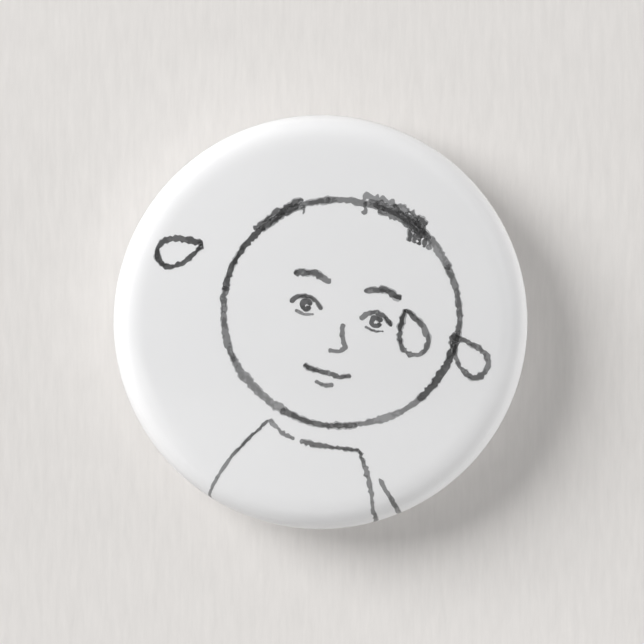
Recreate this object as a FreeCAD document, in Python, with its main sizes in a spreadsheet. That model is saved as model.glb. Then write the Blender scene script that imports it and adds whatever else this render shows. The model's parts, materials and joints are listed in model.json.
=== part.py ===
import FreeCAD, Part
import math
import os

import Sketcher

os.makedirs("parts", exist_ok=True)

# Pin-back button badge, 32 mm across, in millimetres. The frame's origin is the centre of the
# rear rim: the printed face looks towards -Y, the pin is on the +Y side and +Z is up. Every
# driving dimension is a cell of the sheet, and the pieces are bound to those cells.

SIZES = [
    ("badge_diameter", 32.0, "outer diameter, over the film"),
    ("crown_radius", 220.0, "radius of the domed face"),
    ("shoulder_radius", 5.6, "radius of the softer bend between the dome and the rim"),
    ("shoulder_turn", 14.0, "slope at which the shoulder gives way to the rim, degrees"),
    ("roll_radius", 1.85, "radius of the rim where the face turns into the skirt"),
    ("skirt_height", 1.15, "straight wall between the rim and the rear curl"),
    ("curl_radius", 1.1, "radius of each quarter of the rear curl"),
    ("rear_flat", 0.3, "flat width of the rear rim between the two quarters"),
    ("tail_length", 0.3, "straight end of the curled edge, inside the rim"),
    ("film_thickness", 0.08, "clear polyester film"),
    ("paper_thickness", 0.12, "printed paper disc"),
    ("shell_thickness", 0.25, "tinplate front shell"),
    ("layer_gap", 0.02, "space between one wrapped layer and the next"),
    ("plate_thickness", 0.25, "tinplate back plate"),
    ("plate_clearance", 0.15, "space between the plate's edge and the shell's wall"),
    ("step_clearance", 0.35, "space between the curled edge and the plate's step"),
    ("step_run", 0.55, "how far the plate's step leans inwards"),
    ("step_height", 1.28, "depth of the plate's floor below its flange"),
    ("bead_inset", 1.1, "from the edge of the floor to the middle of the bead"),
    ("bead_radius", 0.75, "radius of the stiffening bead's section"),
    ("bead_height", 0.25, "how far the bead stands above the floor"),
    ("wire_diameter", 0.7, "spring-steel pin wire"),
    ("wire_seat", 0.02, "space between the wire and the floor or a bridge"),
    ("coil_radius", 1.4, "radius of the coil's centre line"),
    ("turn_gap", 0.1, "space between one turn of the coil and the next"),
    ("coil_turns", 1.5, "turns of the coil"),
    ("coil_tilt", 12.0, "lean of the coil's axis towards +Z, degrees"),
    ("coil_margin", 2.4, "from the coil to the edge of the floor"),
    ("wire_break", 0.1, "space where the pin's three lengths of wire meet"),
    ("tip_margin", 2.0, "from the pin's point to the edge of the floor"),
    ("arm_dip", 3.0, "slope of the closed arm towards the plate, degrees"),
    ("point_length", 2.6, "ground point of the arm"),
    ("point_radius", 0.03, "radius at the very tip"),
    ("hook_setback", 1.7, "from the pin's point to the hook"),
    ("hook_clearance", 0.15, "space between the arm and the hook over it"),
    ("hook_overlap", 0.75, "how far the hook's end passes the middle of the arm"),
    ("hook_bend", 0.55, "bend radius of the hook's centre line"),
    ("bridge_width", 2.4, "length of wire that one bridge covers"),
    ("bridge_inset", 4.2, "from the coil's axis or the hook to the middle of a bridge"),
    ("bridge_crown", 0.6, "half width of a bridge over the wire"),
    ("bridge_leg", 0.7, "how far each leg of a bridge leans out"),
]

doc = FreeCAD.newDocument("button_badge")
sheet = doc.addObject("Spreadsheet::Sheet", "Sizes")
for row, (alias, number, meaning) in enumerate(SIZES, start=1):
    sheet.set(f"A{row}", meaning)
    sheet.set(f"B{row}", str(number))
    sheet.setAlias(f"B{row}", alias)
doc.recompute()


def measure(formula):
    """The value of a formula on the sheet's cells, in millimetres or degrees."""
    found = sheet.evalExpression(formula)
    return float(getattr(found, "Value", found))


def origin_plane(body, role):
    return next(item for item in body.Origin.OriginFeatures if item.Role == role)


def arc_between(start, end, radius, side):
    """A circle's arc from start to end; its centre is on the left when side is 1."""
    chord = end - start
    middle = (start + end) * 0.5
    left = FreeCAD.Vector(-chord.y, chord.x, 0).normalize()
    reach = math.sqrt(max(radius**2 - (chord.Length / 2) ** 2, 0))
    centre = middle + left * (reach * side)
    from_centre = start - centre
    to_centre = end - centre
    begin = math.atan2(from_centre.y, from_centre.x)
    finish = math.atan2(to_centre.y, to_centre.x)
    circle = Part.Circle(centre, FreeCAD.Vector(0, 0, 1), radius)
    if side > 0:
        return Part.ArcOfCircle(circle, begin, finish)
    return Part.ArcOfCircle(circle, finish, begin)


def bind(sketch, constraint, name, formula):
    index = sketch.addConstraint(constraint)
    sketch.renameConstraint(index, name)
    sketch.setExpression(f"Constraints.{name}", formula)


def outline(body, name, plane, corners):
    """A closed sketch. Each corner is (across, up, radius, side), where radius and side shape the
    edge that leaves it: None for a straight edge, else an arc whose centre is on that side."""
    sketch = body.newObject("Sketcher::SketchObject", name)
    sketch.AttachmentSupport = (origin_plane(body, plane), [""])
    sketch.MapMode = "FlatFace"
    points = [FreeCAD.Vector(measure(across), measure(up), 0) for across, up, _, _ in corners]
    ends = []
    for number, (_, _, radius, side) in enumerate(corners):
        start = points[number]
        end = points[(number + 1) % len(points)]
        if radius is None:
            sketch.addGeometry(Part.LineSegment(start, end), False)
            ends.append((1, 2))
        else:
            sketch.addGeometry(arc_between(start, end, measure(radius), side), False)
            ends.append((1, 2) if side > 0 else (2, 1))
    for number, (across, up, radius, _) in enumerate(corners):
        following = (number + 1) % len(corners)
        sketch.addConstraint(
            Sketcher.Constraint("Coincident", number, ends[number][1], following, ends[following][0])
        )
        point = points[number]
        corner = ends[number][0]
        bind(sketch, Sketcher.Constraint("DistanceX", number, corner, point.x), f"across_{number}", across)
        bind(sketch, Sketcher.Constraint("DistanceY", number, corner, point.y), f"up_{number}", up)
        if radius is not None:
            bind(sketch, Sketcher.Constraint("Radius", number, measure(radius)), f"bend_{number}", radius)
    return sketch


def revolve(body, name, sketch):
    feature = body.newObject("PartDesign::Revolution", name)
    feature.Profile = sketch
    feature.ReferenceAxis = (sketch, ["V_Axis"])
    feature.Angle = 360
    sketch.Visibility = False
    return feature


# The wrapped layers: film, paper and shell share one outline, each a little further in. A layer
# runs over the dome, round its shoulder and the rim, down the skirt and round the curl to the edge
# inside the rim.

RADIUS = "(Sizes.badge_diameter / 2)"
ROLL_ACROSS = f"({RADIUS} - Sizes.roll_radius)"
ROLL_UP = "(0 - Sizes.curl_radius - Sizes.skirt_height)"
SHOULDER_SINE = "sin(Sizes.shoulder_turn * 1 deg)"
SHOULDER_COSINE = "cos(Sizes.shoulder_turn * 1 deg)"
SHOULDER_REACH = "(Sizes.shoulder_radius - Sizes.roll_radius)"
SHOULDER_ACROSS = f"({ROLL_ACROSS} - {SHOULDER_REACH} * {SHOULDER_SINE})"
SHOULDER_UP = f"({ROLL_UP} + {SHOULDER_REACH} * {SHOULDER_COSINE})"
CROWN_REACH = "(Sizes.crown_radius - Sizes.shoulder_radius)"
CROWN_RISE = f"sqrt({CROWN_REACH}^2 - {SHOULDER_ACROSS}^2)"
APEX = f"({SHOULDER_UP} + {CROWN_RISE} - Sizes.crown_radius)"
CURL_ACROSS = f"({RADIUS} - Sizes.curl_radius)"
INNER_CURL_ACROSS = f"({CURL_ACROSS} - Sizes.rear_flat)"
EDGE_ACROSS = f"({INNER_CURL_ACROSS} - Sizes.curl_radius)"
EDGE_UP = "(0 - Sizes.curl_radius - Sizes.tail_length)"

PAPER_DEPTH = "(Sizes.film_thickness + Sizes.layer_gap)"
SHELL_DEPTH = f"({PAPER_DEPTH} + Sizes.paper_thickness + Sizes.layer_gap)"


def layer_side(depth, outward):
    """One side of a layer, as corners from the axis to the edge, or back when not outward."""
    crown = f"(Sizes.crown_radius - {depth})"
    shoulder = f"(Sizes.shoulder_radius - {depth})"
    roll = f"(Sizes.roll_radius - {depth})"
    curl = f"(Sizes.curl_radius - {depth})"
    corners = [
        ("0", f"{APEX} + {depth}"),
        (
            f"{SHOULDER_ACROSS} + {shoulder} * {SHOULDER_ACROSS} / {CROWN_REACH}",
            f"{SHOULDER_UP} - {shoulder} * {CROWN_RISE} / {CROWN_REACH}",
        ),
        (f"{ROLL_ACROSS} + {roll} * {SHOULDER_SINE}", f"{ROLL_UP} - {roll} * {SHOULDER_COSINE}"),
        (f"{RADIUS} - {depth}", ROLL_UP),
        (f"{RADIUS} - {depth}", "0 - Sizes.curl_radius"),
        (CURL_ACROSS, f"0 - {depth}"),
        (INNER_CURL_ACROSS, f"0 - {depth}"),
        (f"{EDGE_ACROSS} + {depth}", "0 - Sizes.curl_radius"),
        (f"{EDGE_ACROSS} + {depth}", EDGE_UP),
    ]
    bends = [crown, shoulder, roll, None, curl, None, curl, None]
    if outward:
        edges = [(bend, 1) for bend in bends] + [(None, 1)]
        return [(*corner, *edge) for corner, edge in zip(corners, edges)]
    edges = [(bend, -1) for bend in reversed(bends)] + [(None, 1)]
    return [(*corner, *edge) for corner, edge in zip(reversed(corners), edges)]


def wrapped_layer(label, depth, thickness):
    body = doc.addObject("PartDesign::Body", label)
    body.Label = label
    corners = layer_side(depth, True) + layer_side(f"({depth} + {thickness})", False)
    sketch = outline(body, f"{label}_section", "XY_Plane", corners)
    revolve(body, f"{label}_turned", sketch)
    return body


film_cover = wrapped_layer("film_cover", "0", "Sizes.film_thickness")
printed_disc = wrapped_layer("printed_disc", PAPER_DEPTH, "Sizes.paper_thickness")
front_shell = wrapped_layer("front_shell", SHELL_DEPTH, "Sizes.shell_thickness")


# The back plate: a stamped disc whose flange is trapped under the curled edge of the shell, with
# a sunk floor, a round stiffening bead and two bridges that are lanced up over the pin's base wire.

SHELL_INSIDE = f"({SHELL_DEPTH} + Sizes.shell_thickness)"
FLANGE_ACROSS = f"({RADIUS} - {SHELL_INSIDE} - Sizes.plate_clearance)"
FLANGE_UP = f"({EDGE_UP} - Sizes.layer_gap)"
STEP_ACROSS = f"({EDGE_ACROSS} - Sizes.step_clearance)"
FLOOR_ACROSS = f"({STEP_ACROSS} - Sizes.step_run)"
FLOOR_UP = f"({FLANGE_UP} - Sizes.step_height)"
SHEET = "Sizes.plate_thickness"
STEP_SHIFT = f"({SHEET} * tan(atan(Sizes.step_height / Sizes.step_run) / 2))"

BEAD_ACROSS = f"({FLOOR_ACROSS} - Sizes.bead_inset)"
BEAD_DROP = "(Sizes.bead_radius - Sizes.bead_height)"
BEAD_TOP = f"sqrt(Sizes.bead_radius^2 - {BEAD_DROP}^2)"
BEAD_INNER = f"(Sizes.bead_radius - {SHEET})"
BEAD_UNDER = f"sqrt({BEAD_INNER}^2 - ({BEAD_DROP} - {SHEET})^2)"

plate_corners = [
    ("0", f"{FLOOR_UP} - {SHEET}", None, 1),
    (f"{BEAD_ACROSS} - {BEAD_UNDER}", f"{FLOOR_UP} - {SHEET}", BEAD_INNER, -1),
    (f"{BEAD_ACROSS} + {BEAD_UNDER}", f"{FLOOR_UP} - {SHEET}", None, 1),
    (f"{FLOOR_ACROSS} + {STEP_SHIFT}", f"{FLOOR_UP} - {SHEET}", None, 1),
    (f"{STEP_ACROSS} + {STEP_SHIFT}", f"{FLANGE_UP} - {SHEET}", None, 1),
    (FLANGE_ACROSS, f"{FLANGE_UP} - {SHEET}", None, 1),
    (FLANGE_ACROSS, FLANGE_UP, None, 1),
    (STEP_ACROSS, FLANGE_UP, None, 1),
    (FLOOR_ACROSS, FLOOR_UP, None, 1),
    (f"{BEAD_ACROSS} + {BEAD_TOP}", FLOOR_UP, "Sizes.bead_radius", 1),
    (f"{BEAD_ACROSS} - {BEAD_TOP}", FLOOR_UP, None, 1),
    ("0", FLOOR_UP, None, 1),
]
back_plate = doc.addObject("PartDesign::Body", "back_plate")
back_plate.Label = "back_plate"
plate_sketch = outline(back_plate, "plate_section", "XY_Plane", plate_corners)
plate_turned = revolve(back_plate, "plate_turned", plate_sketch)

# The pin's places. Its coil's axis leans back, so that the arm rises off the plate as it opens.
# "Along" is the direction of the coil's axis, and "over" runs from the coil to the base wire.

WIRE_RADIUS = "(Sizes.wire_diameter / 2)"
COIL_ACROSS = f"(0 - {FLOOR_ACROSS} + Sizes.coil_margin + Sizes.coil_radius + {WIRE_RADIUS})"
TIP_ACROSS = f"({FLOOR_ACROSS} - Sizes.tip_margin)"
HOOK_ACROSS = f"({TIP_ACROSS} - Sizes.hook_setback)"
BASE_UP = f"({FLOOR_UP} + Sizes.wire_seat + {WIRE_RADIUS})"
BASE_HIGH = "(Sizes.coil_radius * cos(Sizes.coil_tilt * 1 deg))"

BRIDGE_ACROSS = f"({COIL_ACROSS} + Sizes.bridge_inset)"
BRIDGE_SPACING = f"({HOOK_ACROSS} - {COIL_ACROSS} - 2 * Sizes.bridge_inset)"
BRIDGE_UP = f"({BASE_UP} + {WIRE_RADIUS} + Sizes.wire_seat + {SHEET})"
BRIDGE_FOOT = "(Sizes.bridge_crown + Sizes.bridge_leg)"

slot_corners = [
    (f"{BRIDGE_ACROSS} - Sizes.bridge_width / 2", f"{BASE_HIGH} - {BRIDGE_FOOT}", None, 1),
    (f"{BRIDGE_ACROSS} + Sizes.bridge_width / 2", f"{BASE_HIGH} - {BRIDGE_FOOT}", None, 1),
    (f"{BRIDGE_ACROSS} + Sizes.bridge_width / 2", f"{BASE_HIGH} + {BRIDGE_FOOT}", None, 1),
    (f"{BRIDGE_ACROSS} - Sizes.bridge_width / 2", f"{BASE_HIGH} + {BRIDGE_FOOT}", None, 1),
]
doc.recompute()
plate_volume = plate_turned.Shape.Volume
slot_sketch = outline(back_plate, "bridge_slot_outline", "XZ_Plane", slot_corners)
slot = back_plate.newObject("PartDesign::Pocket", "bridge_slot")
slot.Profile = slot_sketch
slot.Type = "ThroughAll"
slot.Midplane = True

bridge_corners = [
    (FLOOR_UP, f"{BASE_HIGH} - {BRIDGE_FOOT}", None, 1),
    (f"{FLOOR_UP} - {SHEET}", f"{BASE_HIGH} - {BRIDGE_FOOT}", None, 1),
    (f"{BRIDGE_UP} - {SHEET}", f"{BASE_HIGH} - Sizes.bridge_crown", None, 1),
    (f"{BRIDGE_UP} - {SHEET}", f"{BASE_HIGH} + Sizes.bridge_crown", None, 1),
    (f"{FLOOR_UP} - {SHEET}", f"{BASE_HIGH} + {BRIDGE_FOOT}", None, 1),
    (FLOOR_UP, f"{BASE_HIGH} + {BRIDGE_FOOT}", None, 1),
    (BRIDGE_UP, f"{BASE_HIGH} + Sizes.bridge_crown", None, 1),
    (BRIDGE_UP, f"{BASE_HIGH} - Sizes.bridge_crown", None, 1),
]
bridge_sketch = outline(back_plate, "bridge_outline", "YZ_Plane", bridge_corners)
bridge_sketch.setExpression("AttachmentOffset.Base.z", BRIDGE_ACROSS)
bridge = back_plate.newObject("PartDesign::Pad", "bridge")
bridge.Profile = bridge_sketch
bridge.Midplane = True
bridge.setExpression("Length", "Sizes.bridge_width")

bridges = back_plate.newObject("PartDesign::LinearPattern", "bridges")
bridges.Originals = [slot, bridge]
bridges.Direction = (slot_sketch, ["H_Axis"])
bridges.Occurrences = 2
bridges.setExpression("Length", BRIDGE_SPACING)
back_plate.Tip = bridges
for sketch in (slot_sketch, bridge_sketch):
    sketch.Visibility = False
doc.recompute()
if not slot.Shape.Volume < plate_volume:
    raise ValueError("the bridge slot cuts nothing")
if not bridges.Shape.Volume > slot.Shape.Volume:
    raise ValueError("the bridges add nothing to the plate")

# The pin is one length of spring wire: base wire and hook, coil, and the arm with its point. The
# arm swings on the coil, so the three lengths are separate, a hair apart where they meet.

wire_radius = measure(WIRE_RADIUS)
coil_radius = measure("Sizes.coil_radius")
coil_pitch = measure("Sizes.wire_diameter + Sizes.turn_gap")
wire_break = measure("Sizes.wire_break")
tilt = math.radians(measure("Sizes.coil_tilt"))
dip = math.radians(measure("Sizes.arm_dip"))

across = FreeCAD.Vector(1, 0, 0)
along = FreeCAD.Vector(0, math.cos(tilt), math.sin(tilt))
over = FreeCAD.Vector(0, -math.sin(tilt), math.cos(tilt))
pivot = FreeCAD.Vector(measure(COIL_ACROSS), measure(BASE_UP) + coil_radius * math.sin(tilt), 0)
coil_rise = coil_pitch * measure("Sizes.coil_turns")
arm_root = pivot - over * coil_radius + along * coil_rise
arm_direction = FreeCAD.Vector(math.cos(dip), -math.sin(dip), 0)


def bent_path(points, radius):
    """Straight runs through the points, with a tangent arc of this radius at each inner one."""
    edges = []
    start = points[0]
    for before, corner, after in zip(points, points[1:], points[2:]):
        incoming = (corner - before).normalize()
        outgoing = (after - corner).normalize()
        turn = incoming.getAngle(outgoing)
        setback = radius * math.tan(turn / 2)
        enter = corner - incoming * setback
        leave = corner + outgoing * setback
        inward = (outgoing - incoming).normalize()
        centre = corner + inward * (radius / math.cos(turn / 2))
        edges.append(Part.LineSegment(start, enter).toShape())
        edges.append(Part.Arc(enter, centre - inward * radius, leave).toShape())
        start = leave
    edges.append(Part.LineSegment(start, points[-1]).toShape())
    return Part.Wire(edges)


def drawn_wire(path):
    """A round wire along a path whose edges meet smoothly."""
    first = path.Edges[0]
    circle = Part.Circle(
        first.valueAt(first.FirstParameter), first.tangentAt(first.FirstParameter), wire_radius
    )
    return path.makePipeShell([Part.Wire(circle.toShape())], True, True)


def formed_wire(label, shape, placement):
    feature = doc.addObject("Part::Feature", label)
    feature.Label = label
    feature.Shape = shape
    feature.Placement = placement
    return feature


arm_at_hook = arm_root + arm_direction * ((measure(HOOK_ACROSS) - arm_root.x) / math.cos(dip))
hook_corner = pivot + over * coil_radius
hook_corner.x = measure(HOOK_ACROSS)
hook_rise = (arm_at_hook - hook_corner).dot(along) + 2 * wire_radius + measure("Sizes.hook_clearance")
hook_reach = (hook_corner - arm_at_hook).dot(over) + measure("Sizes.hook_overlap")
hook_top = hook_corner + along * hook_rise
base_start = pivot + over * coil_radius + across * wire_break
# The hook's two bends share its rise, so neither takes half of it.
hook_bend_limit = hook_rise * 0.48
base_path = bent_path(
    [base_start, hook_corner, hook_top, hook_top - over * hook_reach],
    min(measure("Sizes.hook_bend"), hook_bend_limit),
)
pin_base = formed_wire("pin_base", drawn_wire(base_path), FreeCAD.Placement())

coil_frame = FreeCAD.Placement(pivot, FreeCAD.Rotation(over, across, along))
coil_path = Part.Wire(Part.makeHelix(coil_pitch, coil_rise, coil_radius, 0, True).Edges)
pin_coil = formed_wire("pin_coil", drawn_wire(coil_path), coil_frame)

arm_length = (measure(TIP_ACROSS) - arm_root.x) / math.cos(dip) - wire_break
shank = doc.addObject("Part::Cylinder", "arm_shank")
shank.setExpression("Radius", WIRE_RADIUS)
shank.Height = arm_length - measure("Sizes.point_length")
point = doc.addObject("Part::Cone", "arm_point")
point.setExpression("Radius1", WIRE_RADIUS)
point.setExpression("Radius2", "Sizes.point_radius")
point.setExpression("Height", "Sizes.point_length")
point.setExpression("Placement.Base.z", "arm_shank.Height")
pin_arm = doc.addObject("Part::Fuse", "pin_arm")
pin_arm.Label = "pin_arm"
pin_arm.Base = shank
pin_arm.Tool = point
pin_arm.Placement = FreeCAD.Placement(
    arm_root + arm_direction * wire_break,
    FreeCAD.Rotation(FreeCAD.Vector(0, 0, 1), arm_direction),
)

doc.recompute()

pieces = [film_cover, printed_disc, front_shell, back_plate, pin_base, pin_coil, pin_arm]
for item in doc.Objects:
    if "Invalid" in item.State or "Error" in item.State:
        raise ValueError(f"{item.Label} did not recompute: {item.State}")
for piece in pieces:
    shape = piece.Shape
    if shape.isNull() or not shape.isValid() or len(shape.Solids) != 1:
        raise ValueError(f"{piece.Label} is not one valid solid")
    shape.exportStep(f"parts/{piece.Label}.step")
    print(f"{piece.Label}: {shape.Volume:.2f} mm3")
print(f"coil axis through {tuple(pivot)} along {tuple(along)}")
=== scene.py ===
import json
import math

import bpy
import numpy as np
from mathutils import Matrix, Vector


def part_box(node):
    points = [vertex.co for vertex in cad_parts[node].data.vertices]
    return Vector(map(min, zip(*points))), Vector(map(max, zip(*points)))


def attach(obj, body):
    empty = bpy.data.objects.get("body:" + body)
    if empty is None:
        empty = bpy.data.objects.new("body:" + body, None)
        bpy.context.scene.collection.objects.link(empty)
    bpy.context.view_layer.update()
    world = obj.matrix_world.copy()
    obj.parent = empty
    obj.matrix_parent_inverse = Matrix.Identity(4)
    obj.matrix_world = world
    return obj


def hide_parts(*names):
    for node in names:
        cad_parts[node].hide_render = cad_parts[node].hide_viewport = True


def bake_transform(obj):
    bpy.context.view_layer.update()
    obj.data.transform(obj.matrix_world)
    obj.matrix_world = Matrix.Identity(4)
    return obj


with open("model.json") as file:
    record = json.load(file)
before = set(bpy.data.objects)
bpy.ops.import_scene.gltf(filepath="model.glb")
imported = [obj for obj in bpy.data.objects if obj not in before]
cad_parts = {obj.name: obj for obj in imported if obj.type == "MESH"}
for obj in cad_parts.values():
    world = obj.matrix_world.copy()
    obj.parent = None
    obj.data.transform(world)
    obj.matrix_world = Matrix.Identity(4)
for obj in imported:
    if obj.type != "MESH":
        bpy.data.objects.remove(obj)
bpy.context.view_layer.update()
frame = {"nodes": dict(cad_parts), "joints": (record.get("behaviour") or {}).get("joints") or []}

MM = 0.001

# ---------------------------------------------------------------------------------------------
# Printed disc: white coated paper, drawn over the shell's dome and rim and curled round to the
# back, where the press crimps its spare edge into fine pleats. The back plate holds its edge.

BADGE_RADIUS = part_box("film_cover")[1].x / MM
CROWN_RADIUS = 220.0
SHOULDER_RADIUS = 5.6
SHOULDER_TURN = 14.0
ROLL_RADIUS = 1.85
SKIRT_HEIGHT = 1.15
CURL_RADIUS = 1.1
REAR_FLAT = 0.3
TAIL_LENGTH = 0.3
FILM_THICKNESS = 0.08
PAPER_THICKNESS = 0.12
LAYER_GAP = 0.02
PAPER_DEPTH = FILM_THICKNESS + LAYER_GAP
ROUND_STEPS = 288
PLEAT_COUNT = 72
PLEAT_DEPTH = 0.035


def arc(centre, radius, first, last, count):
    """Points along an arc, from one angle to another, in degrees."""
    turns = np.radians(np.linspace(first, last, count))
    return np.column_stack([centre[0] + radius * np.cos(turns), centre[1] + radius * np.sin(turns)])


def layer_section(depth):
    """The side of a wrapped layer this far below the film's face, from the axis to its edge."""
    roll_across = BADGE_RADIUS - ROLL_RADIUS
    roll_up = -CURL_RADIUS - SKIRT_HEIGHT
    turn = math.radians(SHOULDER_TURN)
    shoulder_across = roll_across - (SHOULDER_RADIUS - ROLL_RADIUS) * math.sin(turn)
    shoulder_up = roll_up + (SHOULDER_RADIUS - ROLL_RADIUS) * math.cos(turn)
    lean = math.degrees(math.asin(shoulder_across / (CROWN_RADIUS - SHOULDER_RADIUS)))
    crown_up = shoulder_up + (CROWN_RADIUS - SHOULDER_RADIUS) * math.cos(math.radians(lean))
    curl = CURL_RADIUS - depth
    crown_end = -90 + lean
    shoulder_end = -90 + SHOULDER_TURN
    return np.vstack([
        arc((0, crown_up), CROWN_RADIUS - depth, -90, crown_end, 30),
        arc((shoulder_across, shoulder_up), SHOULDER_RADIUS - depth, crown_end, shoulder_end, 9)[1:],
        arc((roll_across, roll_up), ROLL_RADIUS - depth, shoulder_end, 0, 22)[1:],
        [(BADGE_RADIUS - depth, roll_up + SKIRT_HEIGHT / 2)],
        arc((BADGE_RADIUS - CURL_RADIUS, -CURL_RADIUS), curl, 0, 90, 14),
        arc((BADGE_RADIUS - CURL_RADIUS - REAR_FLAT, -CURL_RADIUS), curl, 90, 180, 14),
        [(BADGE_RADIUS - 2 * CURL_RADIUS - REAR_FLAT + depth, -CURL_RADIUS - TAIL_LENGTH)],
    ])


def clear_selection():
    """Back to object mode with nothing selected."""
    if bpy.context.mode != "OBJECT":
        bpy.ops.object.mode_set(mode="OBJECT")
    bpy.ops.object.select_all(action="DESELECT")


def make_active(piece):
    """The piece alone is selected, and operators act on it."""
    clear_selection()
    piece.select_set(True)
    bpy.context.view_layer.objects.active = piece


def apply_modifiers(piece):
    make_active(piece)
    for modifier in list(piece.modifiers):
        bpy.ops.object.modifier_apply(modifier=modifier.name)


def smooth(piece, angle=40):
    """Shades the piece smooth, apart from edges sharper than this many degrees."""
    make_active(piece)
    bpy.ops.object.shade_smooth_by_angle(angle=math.radians(angle))


def turned_sheet(name, section, thickness):
    """A sheet spun round the badge's axis from a section of (across, up) points in millimetres,
    then given its thickness on the inner side."""
    clear_selection()
    bpy.ops.mesh.primitive_plane_add(size=MM)
    piece = bpy.context.object
    piece.name = name
    bpy.ops.object.mode_set(mode="EDIT")
    bpy.ops.mesh.select_all(action="SELECT")
    bpy.ops.mesh.merge(type="CENTER")
    bpy.ops.transform.translate(value=(section[0][0] * MM, section[0][1] * MM, 0))
    for before, after in zip(section, section[1:]):
        step = ((after[0] - before[0]) * MM, (after[1] - before[1]) * MM, 0)
        bpy.ops.mesh.extrude_vertices_move(TRANSFORM_OT_translate={"value": step})
    bpy.ops.mesh.select_all(action="SELECT")
    bpy.ops.mesh.spin(steps=ROUND_STEPS, angle=2 * math.pi, center=(0, 0, 0), axis=(0, 1, 0))
    bpy.ops.mesh.select_all(action="SELECT")
    bpy.ops.mesh.remove_doubles(threshold=1e-6)
    bpy.ops.mesh.normals_make_consistent(inside=False)
    bpy.ops.object.mode_set(mode="OBJECT")
    wall = piece.modifiers.new("wall", "SOLIDIFY")
    wall.thickness = thickness * MM
    wall.offset = -1
    wall.use_even_offset = True
    apply_modifiers(piece)
    smooth(piece)
    return piece


def crimp(piece):
    """Presses fine pleats into the part of a layer that curls round to the back."""
    start = -CURL_RADIUS * MM
    middle = Vector((BADGE_RADIUS - CURL_RADIUS - REAR_FLAT / 2, -CURL_RADIUS)) * MM
    for vertex in piece.data.vertices:
        spot = vertex.co
        across = math.hypot(spot.x, spot.z)
        if spot.y < start * 2 or across < middle.x - 2 * CURL_RADIUS * MM:
            continue
        turn = math.atan2(spot.z, spot.x)
        wave = 0.5 + 0.5 * math.sin(PLEAT_COUNT * turn + 2.1 * math.sin(5 * turn) + math.sin(11 * turn))
        inside = min(max((middle.x + CURL_RADIUS * MM - across) / (1.5 * CURL_RADIUS * MM), 0), 1)
        behind = min(max((spot.y - start) / (CURL_RADIUS * MM) + 0.9, 0), 1)
        press = PLEAT_DEPTH * MM * wave**2 * inside * behind
        inward = Vector((middle.x - across, middle.y - spot.y))
        if inward.length < 1e-7:
            continue
        inward.normalize()
        spot.x += inward.x * press * math.cos(turn)
        spot.z += inward.x * press * math.sin(turn)
        spot.y += inward.y * press
    piece.data.update()


class Shade:
    """A socket in a material's nodes that can be used in arithmetic."""

    def __init__(self, tree, socket=None):
        self.tree = tree
        self.socket = socket

    def node(self, kind, settings=None, inputs=None, output=0):
        """Any node: its settings come first, then the values or links of its sockets."""
        made = self.tree.nodes.new("ShaderNode" + kind)
        for name, value in (settings or {}).items():
            if name == "stops":
                for stop in value[2:]:
                    made.color_ramp.elements.new(stop[0])
                for element, stop in zip(made.color_ramp.elements, value):
                    element.position = stop[0]
                    element.color = (*stop[1], 1)
            elif name == "interpolation":
                made.color_ramp.interpolation = value
            else:
                setattr(made, name, value)
        for name, value in (inputs or {}).items():
            if isinstance(value, Shade):
                self.tree.links.new(value.socket, made.inputs[name])
            else:
                made.inputs[name].default_value = value
        return Shade(self.tree, made.outputs[output])

    def maths(self, operation, first, second=0.0):
        return self.node("Math", {"operation": operation}, {0: first, 1: second})

    def __add__(self, other):
        return self.maths("ADD", self, other)

    __radd__ = __add__

    def __mul__(self, other):
        return self.maths("MULTIPLY", self, other)

    __rmul__ = __mul__

    def __sub__(self, other):
        return self.maths("SUBTRACT", self, other)

    def __rsub__(self, other):
        return self.maths("SUBTRACT", other, self)

    def __abs__(self):
        return self.maths("ABSOLUTE", self)

    def above(self, level, softness):
        """0 below a level and 1 above it, with a soft step between."""
        inputs = {"Value": self, "From Min": level - softness, "From Max": level + softness}
        return self.node("MapRange", {"interpolation_type": "SMOOTHSTEP"}, inputs)

    def noise(self, place, scale, detail=3.0, roughness=0.5, stretch=(1, 1, 1)):
        """Fine noise, scale in waves per millimetre, stretched along the axes."""
        mapping = {"Vector": place, "Scale": tuple(1 / (MM * part) for part in stretch)}
        spread = self.node("Mapping", {}, mapping)
        inputs = {"Vector": spread, "Scale": scale, "Detail": detail, "Roughness": roughness}
        return self.node("TexNoise", {}, inputs)

    def blend(self, share, first, second):
        """A colour between two others."""
        inputs = {0: share, 6: first, 7: second}
        return self.node("Mix", {"data_type": "RGBA"}, inputs, output=2)


def new_material(name):
    """An empty material, the maker of its nodes, and the place on the piece that patterns read."""
    material = bpy.data.materials.new(name)
    material.use_nodes = True
    material.node_tree.nodes.clear()
    shade = Shade(material.node_tree)
    place = shade.node("TexCoord", output="Object")
    return material, shade, place


def finish_material(shade, surface):
    """Gives the material its surface."""
    made = shade.tree.nodes.new("ShaderNodeOutputMaterial")
    shade.tree.links.new(surface.socket, made.inputs["Surface"])


def bump(shade, height, strength, distance):
    """Fine relief, at most this many millimetres deep."""
    return shade.node("Bump", {}, {"Height": height, "Strength": strength, "Distance": distance * MM})


def paper_material():
    """Coated white paper with faint fibres."""
    material, shade, place = new_material("coated_paper")
    fibre = shade.noise(place, 2.2, 6, 0.65, (1.6, 1, 1))
    cloud = shade.noise(place, 0.12, 2)
    tone = fibre * 0.45 + cloud * 0.55
    colour = shade.blend(tone.above(0.5, 0.35), (0.84, 0.84, 0.845, 1), (0.87, 0.87, 0.875, 1))
    surface = shade.node("BsdfPrincipled", {}, {
        "Base Color": colour,
        "Roughness": 0.62,
        "Normal": bump(shade, fibre, 0.25, 0.004),
    })
    finish_material(shade, surface)
    return material


printed_disc = turned_sheet("printed_disc_paper", layer_section(PAPER_DEPTH), PAPER_THICKNESS)
crimp(printed_disc)
printed_disc.data.materials.append(paper_material())
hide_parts("printed_disc")
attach(printed_disc, "badge")

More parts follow.
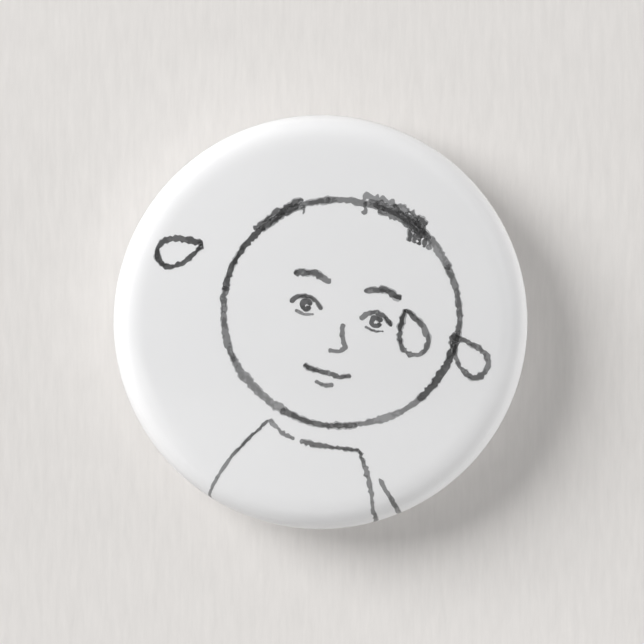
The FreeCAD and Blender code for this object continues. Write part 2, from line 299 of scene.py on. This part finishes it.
# ---------------------------------------------------------------------------------------------
# The print on the disc: grey pen strokes of a round-headed figure with a calm, plain face, a
# little hair and a shirt, and three drops. Ink sits on the paper, so it wraps with it.

INK_LIFT = 0.01
ink_section = layer_section(PAPER_DEPTH - INK_LIFT)
ink_reach = np.concatenate([[0], np.cumsum(np.hypot(*np.diff(ink_section, axis=0).T))])
STROKE_PITCH = 0.06
STROKE_LANES = 4
ink_random = np.random.default_rng(7)


def wrapped(flat):
    """Where points of the flat print come to lie on the badge, as (x, y, z) in metres."""
    reach = np.hypot(flat[:, 0], flat[:, 1])
    turn = np.arctan2(flat[:, 1], flat[:, 0])
    across = np.interp(reach, ink_reach, ink_section[:, 0])
    up = np.interp(reach, ink_reach, ink_section[:, 1])
    return np.column_stack([across * np.cos(turn), up, across * np.sin(turn)]) * MM


def drawn_line(points, closed=False):
    """A smooth line through a few points, resampled at an even pitch."""
    points = np.array(points, float)
    if closed:
        points = np.vstack([points[-1], points, points[:2]])
    else:
        points = np.vstack([2 * points[0] - points[1], points, 2 * points[-1] - points[-2]])
    share = np.linspace(0, 1, 24, endpoint=False)[:, None]
    spans = []
    for a, b, c, d in zip(points, points[1:], points[2:], points[3:]):
        cubic = 3 * (b - c) + d - a
        square = 2 * a - 5 * b + 4 * c - d
        spans.append(b + 0.5 * share * (c - a + share * (square + share * cubic)))
    line = np.vstack(spans + [points[-2:-1]])
    along = np.concatenate([[0], np.cumsum(np.hypot(*np.diff(line, axis=0).T))])
    even = np.linspace(0, along[-1], max(int(along[-1] / STROKE_PITCH), 6))
    return np.column_stack([np.interp(even, along, line[:, k]) for k in (0, 1)])


def ragged(count, reach):
    """Uneven values about 0 with a spread of about 1, that change over this many steps."""
    knots = ink_random.normal(size=count // reach + 3)
    return np.interp(np.arange(count) / reach, np.arange(len(knots)), knots)


def stroke(line, width, ink, rough=0.10, taper=0.35, wander=0.02):
    """A pen stroke along a line, as one strip with uneven edges and rounded ends."""
    count = len(line)
    clear_selection()
    bpy.ops.mesh.primitive_grid_add(x_subdivisions=count - 1, y_subdivisions=STROKE_LANES, size=MM)
    strip = bpy.context.object
    heading = np.gradient(line, axis=0)
    heading /= np.maximum(np.hypot(*heading.T)[:, None], 1e-9)
    side = np.column_stack([heading[:, 1], -heading[:, 0]])
    from_end = np.minimum(np.arange(count), np.arange(count)[::-1]) * STROKE_PITCH
    rounding = np.sqrt(np.clip(1 - (1 - np.minimum(from_end / (width * taper + 0.02), 1)) ** 2, 0.02, 1))
    pressure = 1.08 + 0.10 * ragged(count, 24)
    halves = []
    for _ in range(2):
        unevenness = rough * 2 * ragged(count, 3) + rough * ragged(count, 9)
        halves.append(width / 2 * rounding * np.clip(pressure + unevenness, 0.35, 1.6))
    middle = line + side * (wander * ragged(count, 16))[:, None]
    flat = []
    for vertex in strip.data.vertices:
        step = round((vertex.co.x / MM + 0.5) * (count - 1))
        lane = 2 * vertex.co.y / MM
        half = halves[0][step] if lane > 0 else halves[1][step]
        flat.append(middle[step] + side[step] * lane * half)
    places = wrapped(np.array(flat))
    strip.data.vertices.foreach_set("co", places.ravel())
    strip.data.materials.append(ink)
    strip.data.update()
    return strip


def joined(name, strips):
    """Strokes drawn with one pen become one piece."""
    clear_selection()
    for strip in strips:
        strip.select_set(True)
    bpy.context.view_layer.objects.active = strips[0]
    bpy.ops.object.join()
    piece = bpy.context.object
    piece.name = name
    for face in piece.data.polygons:
        if face.normal.dot(face.center - Vector((0, 4 * MM, 0))) < 0:
            face.flip()
    piece.data.update()
    return piece


def ink_material(name, light, middle, dark, seed, fringe=0.2):
    """Pen ink that dried in flat patches of three greys, paler where a stroke's edge ran thin."""
    material, shade, place = new_material(name)
    moved = shade.node("Mapping", {}, {"Vector": place, "Location": (seed * 0.01, 0, seed * 0.007)})
    broad = shade.noise(moved, 0.38, 2, 0.5)
    fine = shade.noise(moved, 2.1, 3, 0.6)
    patch = broad * 0.6 + fine * 0.4
    colour = shade.node("ValToRGB", {
        "interpolation": "CONSTANT",
        "stops": [(0.0, dark), (0.43, middle), (0.53, light)],
    }, {"Fac": patch})
    lane = shade.node("SeparateXYZ", {}, {"Vector": shade.node("TexCoord", output="UV")}, output="Y")
    from_edge = 1 - abs(lane * 2 - 1)
    thin = 1 - (from_edge + (fine - 0.5) * 1.3 + (broad - 0.5) * 0.8).above(fringe, 0.01)
    colour = shade.blend(thin, colour, PALE_INK)
    surface = shade.node("BsdfPrincipled", {}, {"Base Color": colour, "Roughness": 0.5})
    finish_material(shade, surface)
    return material


def grey(level):
    return (level, level * 1.005, level * 1.02)


PALE_INK = (*grey(0.44), 1)
soft_ink = ink_material("ink_soft_grey", grey(0.31), grey(0.22), grey(0.105), 1)
pen_ink = ink_material("ink_grey", grey(0.24), grey(0.135), grey(0.058), 2)
deep_ink = ink_material("ink_deep_grey", grey(0.135), grey(0.085), grey(0.036), 3, 0.1)

HEAD_PLACE = np.array([1.58, 0.69])
HEAD_WIDE = 9.0
HEAD_HIGH = 8.7
HEAD_TILT = math.radians(-13.5)


def on_head(points):
    """Points given across and up from the middle of the head, placed with the head's tilt."""
    points = np.array(points, float)
    right = np.array([math.cos(HEAD_TILT), math.sin(HEAD_TILT)])
    up = np.array([-math.sin(HEAD_TILT), math.cos(HEAD_TILT)])
    return HEAD_PLACE + points @ np.array([right, up])


def head_ring(first, last, out=0.0, count=40):
    """Part of the head's outline, between two angles in degrees from the head's own right."""
    turns = np.radians(np.linspace(first, last, count))
    wobble = 0.06 * np.sin(2 * turns + 1) + 0.05 * np.sin(7 * turns)
    return on_head(np.column_stack([
        (HEAD_WIDE + out + wobble) * np.cos(turns),
        (HEAD_HIGH + out + wobble) * np.sin(turns),
    ]))


def drop_outline(tip, heel, girth):
    """A teardrop's outline: pointed at its tip, round at its heel."""
    turns = np.linspace(0.10, 2 * math.pi - 0.10, 26)
    length = (1 + np.cos(turns)) / 2
    breadth = np.sin(turns) * np.sin(turns / 2) ** 1.2
    breadth /= breadth.max()
    tip, heel = np.array(tip, float), np.array(heel, float)
    sideways = np.array([-(tip - heel)[1], (tip - heel)[0]]) / np.hypot(*(tip - heel))
    return heel + length[:, None] * (tip - heel) + breadth[:, None] * sideways * girth / 2


# The head: a plain ring, drawn as ten short pulls of the pen that overlap at their ends.
PULL_TURN = 36
PULL_OVERLAP = 3
head_strokes = []
for pull in range(360 // PULL_TURN):
    first = pull * PULL_TURN
    ink = (pen_ink, soft_ink, pen_ink, soft_ink, deep_ink)[pull % 5]
    width = 0.52 + 0.07 * math.sin(2.3 * pull)
    ring = head_ring(first + PULL_TURN + PULL_OVERLAP, first)
    head_strokes.append(stroke(drawn_line(ring), width, ink, rough=0.09))
head_lines = joined("print_head_outline", head_strokes)

# The face: plain and calm, set out by the usual rules: eyes halfway down the head, a short
# straight nose, a closed mouth a third of the way from nose to chin.
EYE_APART = 2.75
EYE_HALF = 1.25
BROW_RISE = 2.2
NOSE_DROP = -2.9
MOUTH_DROP = -4.75
face_strokes = []
for hand in (-1, 1):
    eye = hand * EYE_APART
    lid = [
        (eye - EYE_HALF, -0.12), (eye - 0.65, 0.45), (eye, 0.62),
        (eye + 0.65, 0.45), (eye + EYE_HALF, -0.12),
    ]
    under = [(eye - 0.75, -0.58), (eye, -0.74), (eye + 0.75, -0.58)]
    brow = [
        (eye - hand * 1.45, BROW_RISE - 0.15), (eye, BROW_RISE + 0.3),
        (eye + hand * 1.5, BROW_RISE - 0.1),
    ]
    turns = np.linspace(0, 2 * math.pi, 9)[:-1]
    iris = [(eye + 0.3 * math.cos(turn), -0.02 + 0.33 * math.sin(turn)) for turn in turns]
    face_strokes.append(stroke(drawn_line(on_head(lid)), 0.36, pen_ink))
    face_strokes.append(stroke(drawn_line(on_head(under)), 0.2, soft_ink))
    face_strokes.append(stroke(drawn_line(on_head(brow)), 0.5, pen_ink, taper=0.7))
    face_strokes.append(stroke(drawn_line(on_head(iris), closed=True), 0.42, deep_ink, wander=0))
nose = [(0.3, -0.75), (0.5, -1.7), (0.88, NOSE_DROP + 0.42), (0.5, NOSE_DROP), (-0.3, NOSE_DROP - 0.02)]
mouth = [
    (-1.9, MOUTH_DROP + 0.2), (-0.95, MOUTH_DROP), (0, MOUTH_DROP + 0.04),
    (0.95, MOUTH_DROP), (1.9, MOUTH_DROP + 0.2),
]
lower_lip = [(-0.75, MOUTH_DROP - 0.8), (0, MOUTH_DROP - 0.92), (0.75, MOUTH_DROP - 0.8)]
face_strokes.append(stroke(drawn_line(on_head(nose)), 0.38, pen_ink))
face_strokes.append(stroke(drawn_line(on_head(mouth)), 0.44, pen_ink))
face_strokes.append(stroke(drawn_line(on_head(lower_lip)), 0.28, soft_ink))
face_lines = joined("print_face", face_strokes)

# Hair: two tufts that lie along the head's outline. The left one is open, and the right one is
# scribbled full and ends in a few short locks.


def lock(turn, length, ink):
    """A short lock of hair that hangs from the head's outline."""
    root = head_ring(turn, turn, 0.1, 1)[0]
    middle = root + [0.08, -length / 2]
    return stroke(drawn_line([root, middle, root + [0.0, -length]]), 0.36, ink, rough=0.3)


left_tuft = [
    stroke(drawn_line(head_ring(149, 121, 0.35)), 0.5, pen_ink, rough=0.15),
    stroke(drawn_line(head_ring(146, 127, -0.05)), 0.4, soft_ink, rough=0.2),
    stroke(drawn_line(head_ring(136, 124, 0.15)), 0.4, deep_ink, rough=0.2),
    lock(122, 0.8, soft_ink),
]
right_tuft = [
    stroke(drawn_line(head_ring(93 - 3 * row, 60 - row, 0.6 - 0.3 * row)), 0.48, ink, rough=0.22)
    for row, ink in enumerate((soft_ink, pen_ink, deep_ink, pen_ink))
]
right_tuft.append(lock(92, 1.0, pen_ink))
for place, ink in enumerate((soft_ink, pen_ink, deep_ink, pen_ink, soft_ink)):
    right_tuft.append(lock(68 - 3 * place, 1.7 - 0.15 * place, ink))
hair_lines = joined("print_hair", left_tuft + right_tuft)

# Shirt: thinner pen lines that run on over the rim and down the skirt: a shoulder, a neckline in
# two pulls, a front edge and a sleeve.
shirt_lines = joined("print_shirt", [
    stroke(drawn_line([(-4.0, -7.5), (-6.5, -10.0), (-8.5, -13.0), (-10.0, -17.5)]), 0.26, pen_ink),
    stroke(drawn_line([(-4.0, -7.5), (-3.0, -8.4), (-2.0, -9.0)]), 0.36, soft_ink, rough=0.15),
    stroke(drawn_line([(-1.6, -9.1), (0.0, -9.5), (1.5, -9.7), (3.0, -9.8)]), 0.38, pen_ink, rough=0.12),
    stroke(
        drawn_line([(3.0, -9.8), (3.6, -12.0), (4.2, -15.0), (4.8, -18.0)]),
        0.38, pen_ink, rough=0.15, taper=1.5,
    ),
    stroke(drawn_line([(4.5, -12.0), (6.0, -14.7), (7.8, -17.7)]), 0.3, pen_ink, taper=1.5),
])

# Drops: three alike, from one outline.
DROP_GIRTH = 2.1
drop_lines = joined("print_drops", [
    stroke(drawn_line(drop_outline(tip, heel, DROP_GIRTH)), 0.44, ink, rough=0.12)
    for tip, heel, ink in (
        ((-9.0, 6.0), (-12.5, 5.0), deep_ink),
        ((6.5, 1.0), (7.5, -2.5), pen_ink),
        ((10.0, -1.0), (12.5, -4.0), pen_ink),
    )
])

for lines in (head_lines, face_lines, hair_lines, shirt_lines, drop_lines):
    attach(lines, "badge")

# ---------------------------------------------------------------------------------------------
# Film cover: clear glossy polyester over the print, the badge's outermost skin. It is drawn tight
# over the face and rim and crimped with the paper at the back.


def film_material():
    material, shade, place = new_material("clear_film")
    ripple = shade.noise(place, 0.35, 2)
    outer = shade.node("NewGeometry", output="Backfacing")
    mirrored = shade.node("Fresnel", {}, {"IOR": 1.58}) * (1 - outer)
    gloss = shade.node("BsdfGlossy", {}, {
        "Color": (1, 1, 1, 1),
        "Roughness": 0.12,
        "Normal": bump(shade, ripple, 0.2, 0.006),
    })
    clear = shade.node("BsdfTransparent", {}, {"Color": (0.995, 0.995, 0.995, 1)})
    surface = shade.node("MixShader", {}, {0: mirrored, 1: clear, 2: gloss})
    finish_material(shade, surface)
    return material


film_cover = turned_sheet("film_cover_clear", layer_section(0), FILM_THICKNESS)
crimp(film_cover)
film_cover.data.materials.append(film_material())
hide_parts("film_cover")
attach(film_cover, "badge")

# ---------------------------------------------------------------------------------------------
# Front shell: the tinplate dome under the paper. Only its curled edge shows, from behind.


def tinplate_material(name, grain_stretch):
    """Satin tinplate: rolled grain, faint clouds of tin, and a few rubbed scratches."""
    material, shade, place = new_material(name)
    grain = shade.noise(place, 6.0, 4, 0.6, grain_stretch)
    cloud = shade.noise(place, 0.22, 4, 0.55)
    scratch = shade.noise(place, 1.1, 2, 0.4, (14, 1, 0.25))
    rubbed = scratch.above(0.66, 0.02)
    tone = cloud * 0.7 + grain * 0.3
    colour = shade.blend(tone.above(0.5, 0.3), (0.43, 0.44, 0.45, 1), (0.64, 0.645, 0.65, 1))
    rough = 0.24 + tone * 0.16 + rubbed * 0.12
    surface = shade.node("BsdfPrincipled", {}, {
        "Base Color": colour,
        "Metallic": 1.0,
        "Roughness": rough,
        "Normal": bump(shade, grain * 0.8 + rubbed * 0.2, 0.35, 0.006),
    })
    finish_material(shade, surface)
    return material


front_shell = frame["nodes"]["front_shell"]
front_shell.data.materials.clear()
front_shell.data.materials.append(tinplate_material("shell_tinplate", (5, 1, 0.5)))

# ---------------------------------------------------------------------------------------------
# Back plate: a stamped tinplate disc with a flange under the curled edge, a sunk floor, a round
# stiffening bead and two bridges lanced up over the pin's base wire.

FLANGE_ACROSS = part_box("back_plate")[1].x / MM
FLANGE_UP = -CURL_RADIUS - TAIL_LENGTH - LAYER_GAP
SHEET = 0.25
STEP_CLEARANCE = 0.35
STEP_RUN = 0.55
STEP_HEIGHT = 1.28
BEAD_INSET = 1.1
STEP_ACROSS = BADGE_RADIUS - 2 * CURL_RADIUS - REAR_FLAT - STEP_CLEARANCE
FLOOR_ACROSS = STEP_ACROSS - STEP_RUN
FLOOR_UP = FLANGE_UP - STEP_HEIGHT
BEAD_ACROSS = FLOOR_ACROSS - BEAD_INSET
BEAD_WIDE = 0.75
BEAD_HIGH = 0.25
PRESS_ROUND = 0.28
WIRE_RADIUS = 0.35
WIRE_SEAT = 0.02
BRIDGE_WIDTH = 2.4
BRIDGE_CROWN = 0.6
BRIDGE_LEG = 0.7
BRIDGE_FOOT = 0.25
BRIDGE_ROUND = 0.22
RUBBED_EDGE = 0.05


def rounded(points, radius, count=6):
    """Points with each inner corner turned by an arc, as a press tool leaves it."""
    points = [np.array(point, float) for point in points]
    section = [points[0]]
    for before, corner, after in zip(points, points[1:], points[2:]):
        incoming = (corner - before) / np.hypot(*(corner - before))
        outgoing = (after - corner) / np.hypot(*(after - corner))
        half = math.acos(float(np.clip(incoming @ outgoing, -1, 1))) / 2
        setback = radius * math.tan(half)
        inward = outgoing - incoming
        centre = corner + inward / np.hypot(*inward) * (radius / math.cos(half))
        first = corner - incoming * setback - centre
        last = corner + outgoing * setback - centre
        start = math.degrees(math.atan2(first[1], first[0]))
        sweep = (math.degrees(math.atan2(last[1], last[0])) - start + 180) % 360 - 180
        section.extend(arc(centre, radius, start, start + sweep, count))
    section.append(points[-1])
    return np.array(section)


ripple = np.linspace(-math.pi, math.pi, 17)
bead = np.column_stack([
    BEAD_ACROSS - ripple / math.pi * BEAD_WIDE,
    FLOOR_UP + BEAD_HIGH * (1 + np.cos(ripple)) / 2,
])
step = rounded([
    (FLANGE_ACROSS, FLANGE_UP), (STEP_ACROSS, FLANGE_UP), (FLOOR_ACROSS, FLOOR_UP),
    (BEAD_ACROSS + BEAD_WIDE, FLOOR_UP),
], PRESS_ROUND)
plate_section = np.vstack([step[:-1], bead, [(BEAD_ACROSS / 2, FLOOR_UP), (0, FLOOR_UP)]])

back_plate = turned_sheet("back_plate_stamped", plate_section[::-1], SHEET)

joint = frame["joints"][0]
pivot = Vector(joint["pos_m"])
along = Vector(joint["axis"])
across = Vector((1, 0, 0))
over = along.cross(across) * -1
COIL_RADIUS = 1.4
base_up = pivot.y / MM + over.y * COIL_RADIUS
base_high_z = over.z * COIL_RADIUS
hook_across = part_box("pin_base")[1].x / MM - WIRE_RADIUS
BRIDGE_INSET = 4.2
bridge_places = (pivot.x / MM + BRIDGE_INSET, hook_across - BRIDGE_INSET)


def lanced_bridge(place):
    """One strap over the wire: a strip drawn as a section, pulled out to its width and given the
    sheet's thickness and rubbed edges."""
    top = base_up + WIRE_RADIUS + WIRE_SEAT + SHEET
    foot = BRIDGE_CROWN + BRIDGE_LEG
    shape = rounded([
        (base_high_z - foot - BRIDGE_FOOT, FLOOR_UP), (base_high_z - foot, FLOOR_UP),
        (base_high_z - BRIDGE_CROWN, top), (base_high_z + BRIDGE_CROWN, top),
        (base_high_z + foot, FLOOR_UP), (base_high_z + foot + BRIDGE_FOOT, FLOOR_UP),
    ], BRIDGE_ROUND, 8)
    clear_selection()
    bpy.ops.mesh.primitive_plane_add(size=MM)
    strap = bpy.context.object
    bpy.ops.object.mode_set(mode="EDIT")
    bpy.ops.mesh.select_all(action="SELECT")
    bpy.ops.mesh.merge(type="CENTER")
    corner = (place - BRIDGE_WIDTH / 2, shape[0][1], shape[0][0])
    bpy.ops.transform.translate(value=tuple(part * MM for part in corner))
    for before, after in zip(shape, shape[1:]):
        move = (0, (after[1] - before[1]) * MM, (after[0] - before[0]) * MM)
        bpy.ops.mesh.extrude_vertices_move(TRANSFORM_OT_translate={"value": move})
    bpy.ops.mesh.select_all(action="SELECT")
    bpy.ops.mesh.extrude_edges_move(TRANSFORM_OT_translate={"value": (BRIDGE_WIDTH * MM, 0, 0)})
    bpy.ops.mesh.select_all(action="SELECT")
    bpy.ops.mesh.normals_make_consistent(inside=False)
    bpy.ops.object.mode_set(mode="OBJECT")
    if sum(face.normal.y * face.area for face in strap.data.polygons) < 0:
        strap.data.flip_normals()
    wall = strap.modifiers.new("wall", "SOLIDIFY")
    wall.thickness = SHEET * MM
    wall.offset = -1
    edge = strap.modifiers.new("edge", "BEVEL")
    edge.width = RUBBED_EDGE * MM
    edge.segments = 2
    edge.limit_method = "ANGLE"
    edge.angle_limit = math.radians(60)
    apply_modifiers(strap)
    smooth(strap, 35)
    return strap


def slot_cutter(place):
    """The opening that the strap's metal was lanced from."""
    clear_selection()
    foot = BRIDGE_CROWN + BRIDGE_LEG
    size = (BRIDGE_WIDTH / 2, 1.0, foot)
    bpy.ops.mesh.primitive_cube_add(size=2, location=(place * MM, FLOOR_UP * MM, base_high_z * MM))
    cutter = bpy.context.object
    cutter.scale = tuple(part * MM for part in size)
    bpy.ops.object.transform_apply(location=False, rotation=False, scale=True)
    return cutter


straps = []
for place in bridge_places:
    cutter = slot_cutter(place)
    cut = back_plate.modifiers.new("slot", "BOOLEAN")
    cut.operation = "DIFFERENCE"
    cut.solver = "EXACT"
    cut.object = cutter
    apply_modifiers(back_plate)
    bpy.data.objects.remove(cutter)
    straps.append(lanced_bridge(place))
clear_selection()
for strap in straps:
    strap.select_set(True)
back_plate.select_set(True)
bpy.context.view_layer.objects.active = back_plate
bpy.ops.object.join()
smooth(back_plate, 35)
back_plate.data.materials.clear()
back_plate.data.materials.append(tinplate_material("plate_tinplate", (7, 1, 0.35)))
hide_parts("back_plate")
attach(back_plate, "badge")

# ---------------------------------------------------------------------------------------------
# Pin: one length of nickel-plated spring wire. The base wire lies under the bridges and its end
# is the hook; the coil is the spring and hinge; the arm runs back to the hook and has the point.

COIL_PITCH = 0.8
COIL_TURNS = 1.5
HOOK_BEND = 0.55
HOOK_OVERLAP = 0.75
HOOK_CLEARANCE = 0.15
ARM_DIP = 3.0
POINT_LENGTH = 2.6
LEAD = 1.0


def wire_material():
    """Drawn, nickel-plated spring wire: fine die lines along it and dull rubbed patches."""
    material, shade, place = new_material("nickel_wire")
    lines = shade.noise(place, 5.0, 3, 0.6, (9, 1, 1))
    dull = shade.noise(place, 0.8, 3, 0.6)
    colour = shade.blend(dull.above(0.52, 0.25), (0.60, 0.585, 0.56, 1), (0.76, 0.75, 0.73, 1))
    surface = shade.node("BsdfPrincipled", {}, {
        "Base Color": colour,
        "Metallic": 1.0,
        "Roughness": 0.14 + dull * 0.14,
        "Normal": bump(shade, lines, 0.2, 0.004),
    })
    finish_material(shade, surface)
    return material


def drawn_wire(name, points, girths=None):
    """Round wire along a row of points in metres, with the ends closed."""
    clear_selection()
    bpy.ops.curve.primitive_nurbs_path_add()
    wire = bpy.context.object
    wire.name = name
    curve = wire.data
    curve.splines.clear()
    spline = curve.splines.new("POLY")
    spline.points.add(len(points) - 1)
    for number, (knot, point) in enumerate(zip(spline.points, points)):
        knot.co = (*point, 1)
        knot.radius = 1 if girths is None else girths[number]
    curve.dimensions = "3D"
    curve.twist_mode = "MINIMUM"
    curve.bevel_depth = WIRE_RADIUS * MM
    curve.bevel_resolution = 8
    curve.use_fill_caps = True
    bpy.ops.object.convert(target="MESH")
    wire = bpy.context.object
    smooth(wire, 50)
    return wire


def bent_route(points, radius, count=10):
    """Straight runs with an arc at each inner corner, as points in metres."""
    route = [points[0]]
    for before, corner, after in zip(points, points[1:], points[2:]):
        incoming = (corner - before).normalized()
        outgoing = (after - corner).normalized()
        half = incoming.angle(outgoing) / 2
        middle = (outgoing - incoming).normalized()
        sideways = (incoming + outgoing).normalized()
        centre = corner + middle * (radius / math.cos(half))
        for share in np.linspace(-half, half, count):
            route.append(centre + (sideways * math.sin(share) - middle * math.cos(share)) * radius)
    route.append(points[-1])
    return route


arm_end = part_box("pin_arm")[1].x
coil_rise = COIL_PITCH * COIL_TURNS * MM
arm_root = pivot - over * COIL_RADIUS * MM + along * coil_rise
dip = math.radians(ARM_DIP)
arm_direction = Vector((math.cos(dip), -math.sin(dip), 0))
base_start = pivot + over * COIL_RADIUS * MM
hook_corner = Vector((hook_across * MM, base_start.y, base_start.z))

turns = np.radians(np.linspace(0, 360 * COIL_TURNS, 120))
coil_route = [
    pivot + (over * math.cos(turn) - across * math.sin(turn)) * COIL_RADIUS * MM
    + along * (COIL_PITCH * MM * turn / (2 * math.pi))
    for turn in turns
]
arm_at_hook = arm_root + arm_direction * ((hook_corner.x - arm_root.x) / math.cos(dip))
hook_rise = (arm_at_hook - hook_corner).dot(along) + (2 * WIRE_RADIUS + HOOK_CLEARANCE) * MM
hook_reach = (hook_corner - arm_at_hook).dot(over) + HOOK_OVERLAP * MM
hook_top = hook_corner + along * hook_rise
base_route = bent_route(
    [base_start + across * LEAD * MM, hook_corner, hook_top, hook_top - over * hook_reach],
    min(HOOK_BEND * MM, hook_rise * 0.48),
)
pin_base = drawn_wire("pin_base_wire", base_route)

ease = [base_start + across * LEAD * MM * share for share in (1.0, 0.6, 0.3)]
rest_of_arm = [arm_root + arm_direction * LEAD * MM * share for share in (0.3, 0.6, 1.0)]
pin_coil = drawn_wire("pin_coil_spring", ease + coil_route[2:-2] + rest_of_arm)

arm_length = (arm_end - (arm_root + arm_direction * LEAD * MM).x) / math.cos(dip)
grinding_starts = 1 - POINT_LENGTH * MM / arm_length
shares = np.append(np.linspace(0, grinding_starts, 12), np.linspace(grinding_starts, 1, 12)[1:])
from_tip = (1 - shares) * arm_length / MM
girths = [min(1.0, 0.06 + 0.94 * (1 - (1 - min(gap / POINT_LENGTH, 1)) ** 1.35)) for gap in from_tip]
arm_route = [arm_root + arm_direction * (LEAD * MM + arm_length * share) for share in shares]
pin_arm = drawn_wire("pin_arm_wire", arm_route, girths)

nickel = wire_material()
for wire, node in ((pin_base, "pin_base"), (pin_coil, "pin_coil"), (pin_arm, "pin_arm")):
    wire.data.materials.clear()
    wire.data.materials.append(nickel)
    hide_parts(node)
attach(pin_base, "badge")
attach(pin_arm, "pin_arm")
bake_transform(pin_coil)

# ---------------------------------------------------------------------------------------------
# Stage: a pale upright sheet just behind the badge, open behind it and clear from the back, a pale
# floor below, soft lamps, and a long lens square to the face.

SHEET_HALF = 0.30
FLOOR_DROP = 0.045
BACKDROP_OPENING = BADGE_RADIUS - 0.1
BACKDROP_GAP = 1.0


def stage_material(name, colour, one_sided):
    """Matt paper with faint upright fibres."""
    material, shade, place = new_material(name)
    fibre = shade.noise(place, 1.0, 5, 0.65, (0.5, 1, 3.5))
    pale = (*(level * 1.05 for level in colour), 1)
    deep = (*(level * 0.95 for level in colour), 1)
    surface = shade.node("BsdfPrincipled", {}, {
        "Base Color": shade.blend((fibre - 0.25) * 2, deep, pale),
        "Roughness": 0.9,
        "Normal": bump(shade, fibre, 0.12, 0.05),
    })
    if one_sided:
        rear = shade.node("NewGeometry", output="Backfacing")
        clear = shade.node("BsdfTransparent")
        surface = shade.node("MixShader", {}, {0: rear, 1: surface, 2: clear})
    finish_material(shade, surface)
    return material


clear_selection()
upright = (math.radians(90), 0, 0)
bpy.ops.mesh.primitive_circle_add(vertices=256, radius=BACKDROP_OPENING * MM, rotation=upright)
backdrop = bpy.context.object
backdrop.name = "backdrop"
bpy.ops.object.transform_apply(location=False, rotation=True, scale=False)
bpy.ops.object.mode_set(mode="EDIT")
bpy.ops.mesh.select_all(action="SELECT")
bpy.ops.mesh.extrude_region_move()
bpy.ops.transform.resize(value=(20, 20, 20))
bpy.ops.mesh.select_all(action="SELECT")
bpy.ops.transform.translate(value=(0, BACKDROP_GAP * MM, 0))
bpy.ops.mesh.normals_make_consistent(inside=False)
bpy.ops.object.mode_set(mode="OBJECT")
if backdrop.data.polygons[0].normal.y > 0:
    backdrop.data.flip_normals()
backdrop.data.materials.append(stage_material("backdrop_paper", (0.735, 0.712, 0.691), True))

# The floor's rear half only shows in reflections, so nothing bright is seen through the opening.
floor_pale = stage_material("floor_pale", (0.74, 0.73, 0.715), False)
for name, middle in (("floor", -SHEET_HALF), ("floor_rear", SHEET_HALF)):
    clear_selection()
    bpy.ops.mesh.primitive_plane_add(size=2 * SHEET_HALF, location=(0, middle, -FLOOR_DROP))
    floor = bpy.context.object
    floor.name = name
    floor.data.materials.append(floor_pale)
    floor.visible_diffuse = False
    floor.visible_camera = name == "floor"

world = bpy.data.worlds.new("studio")
world.use_nodes = True
world.node_tree.nodes["Background"].inputs["Color"].default_value = (1, 1, 1, 1)
world.node_tree.nodes["Background"].inputs["Strength"].default_value = 0.44
bpy.context.scene.world = world


def from_badge(turn, lift, distance):
    """A place at this distance: turn is measured round the face from its right, anticlockwise as
    seen from the front, and lift up from the plane of the rim towards the front."""
    turn = math.radians(turn)
    lift = math.radians(lift)
    return (
        distance * math.cos(lift) * math.cos(turn),
        -distance * math.sin(lift),
        distance * math.cos(lift) * math.sin(turn),
    )


def softbox(name, turn, lift, distance, breadth, depth, strength):
    """An oval lamp that faces the badge, broad round the face and deep from the sheet outwards;
    strength is the light it throws on a face turned to it, as a share of full light."""
    place = Vector(from_badge(turn, lift, distance))
    outwards = Vector(from_badge(turn, lift + 90, 1))
    clear_selection()
    bpy.ops.object.light_add(type="AREA", location=place)
    lamp = bpy.context.object
    lamp.name = name
    lamp.data.shape = "ELLIPSE"
    lamp.data.size = breadth
    lamp.data.size_y = depth
    lamp.data.energy = strength * (math.pi * distance) ** 2
    facing = place.normalized()
    lamp.rotation_euler = Matrix((outwards.cross(facing), outwards, facing)).transposed().to_euler()
    lamp.visible_camera = False
    return lamp


def flag(name, place, size):
    """A dark card that is only seen in reflections, so that glossy parts have something to show."""
    clear_selection()
    bpy.ops.mesh.primitive_circle_add(vertices=48, radius=size / 2, fill_type="NGON")
    card = bpy.context.object
    card.name = name
    facing = (-Vector(place)).to_track_quat("Z", "Y").to_matrix().to_4x4()
    facing.translation = Vector(place)
    card.data.transform(facing)
    card.data.materials.append(stage_material("flag_black", (0.02, 0.02, 0.02), False))
    card.visible_camera = False
    card.visible_diffuse = False
    card.visible_shadow = False


softbox("key", 152, 31, 1.20, 0.80, 0.72, 1.10)
side_fill = softbox("side_fill", 5, 3, 0.45, 0.22, 0.03, 0.48)
side_fill.visible_glossy = False
low_fill = softbox("low_fill", -80, 3, 0.042, 0.05, 0.003, 0.07)
low_fill.visible_glossy = False
softbox("rear_key", 60, -42, 0.50, 0.20, 0.20, 0.60)
softbox("rear_fill", 170, -30, 0.50, 0.24, 0.24, 0.25)
flag("flag_front", from_badge(0, 90, 0.66), 0.60)
flag("flag_rear_low", from_badge(250, -45, 0.60), 0.45)
flag("flag_rear_side", from_badge(120, -50, 0.60), 0.30)

CAMERA_BACK = 0.60
VIEW_ACROSS = 49.54 * MM
VIEW_SIDEWAYS = 0.115 * MM
SENSOR = 36
clear_selection()
bpy.ops.object.camera_add(location=(VIEW_SIDEWAYS, -CAMERA_BACK, 0), rotation=upright)
camera = bpy.context.object
camera.name = "camera"
camera.data.sensor_width = SENSOR
camera.data.lens = SENSOR * (CAMERA_BACK - (CURL_RADIUS + SKIRT_HEIGHT) * MM) / VIEW_ACROSS
camera.data.clip_start = 0.01
camera.data.clip_end = 10
bpy.context.scene.camera = camera
bpy.context.scene.view_settings.view_transform = "Standard"
